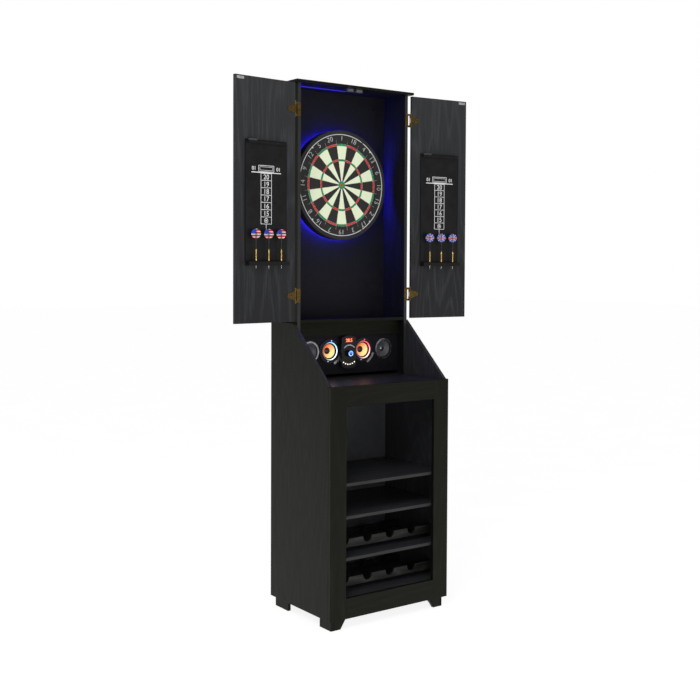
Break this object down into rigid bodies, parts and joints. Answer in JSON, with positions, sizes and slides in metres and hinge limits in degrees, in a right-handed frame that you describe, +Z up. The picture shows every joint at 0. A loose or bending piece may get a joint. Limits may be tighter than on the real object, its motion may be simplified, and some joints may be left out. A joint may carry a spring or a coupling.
{
  "type": "dartboard cabinet on a stand",
  "caption": "Tall black dart cabinet with two open doors, dartboard, scoreboards, darts, speaker console, shelves and bottle rests.",
  "frame": {"origin": "on the floor at the middle of the bounding box, doors open at 175 degrees", "axes": "+X is the viewer's right when facing the front, -Y is the front with the doors and open shelves, +Z is up"},
  "size_m": [1.1576, 0.426, 2.122],
  "materials": {
    "black_oak": "black-stained oak grain laminate, satin",
    "black_satin_board": "black laminate, semi-gloss",
    "dark_backing": "matt black faced board",
    "raw_wood": "dark stained rail, matt",
    "nickel": "plated",
    "speaker_plastic": "glossy black",
    "silver_trim": "silver",
    "light_ring": "lit diffuser",
    "woofer_paper": "lit orange cone",
    "speaker_rim": "dark chrome-look rim",
    "dark_cone": "dark cone",
    "red_display": "lit red display",
    "sisal": "dyed sisal",
    "steel_band": "black band",
    "steel_wire": "wire",
    "white_wire": "white wire and numerals",
    "blue_led": "lit blue diffuser",
    "antique_brass": "antique",
    "catch_grey": "grey",
    "zinc_plate": "zinc plated",
    "score_film": "dry-wipe black with white lines",
    "rack_black": "black",
    "eraser_grey": "felt",
    "lit_button": "lit warm white",
    "dart_flight": "printed flights on brass and steel"
  },
  "bodies": {
    "cabinet": {"base_left_side": "black_oak", "base_right_side": "black_oak", "base_back_panel": "dark_backing", "base_floor": "black_oak", "counter_top": "black_satin_board", "frame_stiles": "black_oak", "frame_rails": "black_oak", "shelves": "black_oak", "shelf_pins": "nickel", "bottle_rests": "black_oak", "feet": "black_oak", "upper_left_side": "black_oak", "upper_right_side": "black_oak", "top_board": "black_oak", "upper_floor": "black_oak", "upper_back_panel": "dark_backing", "wall_cleats": "raw_wood", "speaker_panel": "dark_backing", "speaker_header": "black_oak", "speaker_housing": "speaker_plastic", "speaker_accents": "silver_trim", "woofer_light_rings": "light_ring", "woofer_cones": "woofer_paper", "passive_speaker_rims": "speaker_rim", "passive_speaker_cones": "dark_cone", "speaker_display": "red_display", "dartboard_disc": "sisal", "dartboard_band": "steel_band", "dartboard_spider": "steel_wire", "dartboard_number_ring": "white_wire", "dartboard_bracket": "nickel", "led_lights": "blue_led", "cabinet_hinge_leaves": "antique_brass", "hinge_pins": "antique_brass", "magnetic_catches": "catch_grey"},
    "left_door": {"left_door_panel": "black_oak", "left_hinge_leaves": "antique_brass", "left_strike_plate": "zinc_plate", "left_scoreboard": "score_film", "left_dart_rack": "rack_black", "left_eraser": "eraser_grey"},
    "right_door": {"right_door_panel": "black_oak", "right_hinge_leaves": "antique_brass", "right_strike_plate": "zinc_plate", "right_scoreboard": "score_film", "right_dart_rack": "rack_black", "right_eraser": "eraser_grey"},
    "knob": {"volume_knob": "speaker_plastic"},
    "button_1_body": {"button_1": "lit_button"},
    "button_2_body": {"button_2": "lit_button"},
    "button_3_body": {"button_3": "lit_button"},
    "button_4_body": {"button_4": "lit_button"},
    "button_5_body": {"button_5": "lit_button"},
    "button_6_body": {"button_6": "lit_button"},
    "dart_1_body": {"dart_1": "dart_flight"},
    "dart_2_body": {"dart_2": "dart_flight"},
    "dart_3_body": {"dart_3": "dart_flight"},
    "dart_4_body": {"dart_4": "dart_flight"},
    "dart_5_body": {"dart_5": "dart_flight"},
    "dart_6_body": {"dart_6": "dart_flight"}
  },
  "joints": [
    {"name": "left_door_hinge", "type": "hinge", "parent": "cabinet", "child": "left_door", "pos_m": [-0.29, 0.0372, 1.6405], "axis": [0, 0, 1], "range_deg": [-5, 175]},
    {"name": "right_door_hinge", "type": "hinge", "parent": "cabinet", "child": "right_door", "pos_m": [0.29, 0.0372, 1.6405], "axis": [0, 0, -1], "range_deg": [-5, 175]},
    {"name": "volume_turn", "type": "hinge", "parent": "cabinet", "child": "knob", "pos_m": [-0.007, 0.058, 1.033], "axis": [0, -1, 0], "range_deg": [-150, 150]},
    {"name": "button_1_press", "type": "slide", "parent": "cabinet", "child": "button_1_body", "axis": [0, 1, 0], "range_m": [0, 0.001], "stiffness_N_per_m": 400},
    {"name": "button_2_press", "type": "slide", "parent": "cabinet", "child": "button_2_body", "axis": [0, 1, 0], "range_m": [0, 0.001], "stiffness_N_per_m": 400},
    {"name": "button_3_press", "type": "slide", "parent": "cabinet", "child": "button_3_body", "axis": [0, 1, 0], "range_m": [0, 0.001], "stiffness_N_per_m": 400},
    {"name": "button_4_press", "type": "slide", "parent": "cabinet", "child": "button_4_body", "axis": [0, 1, 0], "range_m": [0, 0.001], "stiffness_N_per_m": 400},
    {"name": "button_5_press", "type": "slide", "parent": "cabinet", "child": "button_5_body", "axis": [0, 1, 0], "range_m": [0, 0.001], "stiffness_N_per_m": 400},
    {"name": "button_6_press", "type": "slide", "parent": "cabinet", "child": "button_6_body", "axis": [0, 1, 0], "range_m": [0, 0.001], "stiffness_N_per_m": 400},
    {"name": "dart_1_lift", "type": "slide", "parent": "left_door", "child": "dart_1_body", "axis": [0, 0, 1], "range_m": [0, 0.045]},
    {"name": "dart_2_lift", "type": "slide", "parent": "left_door", "child": "dart_2_body", "axis": [0, 0, 1], "range_m": [0, 0.045]},
    {"name": "dart_3_lift", "type": "slide", "parent": "left_door", "child": "dart_3_body", "axis": [0, 0, 1], "range_m": [0, 0.045]},
    {"name": "dart_4_lift", "type": "slide", "parent": "right_door", "child": "dart_4_body", "axis": [0, 0, 1], "range_m": [0, 0.045]},
    {"name": "dart_5_lift", "type": "slide", "parent": "right_door", "child": "dart_5_body", "axis": [0, 0, 1], "range_m": [0, 0.045]},
    {"name": "dart_6_lift", "type": "slide", "parent": "right_door", "child": "dart_6_body", "axis": [0, 0, 1], "range_m": [0, 0.045]}
  ]
}
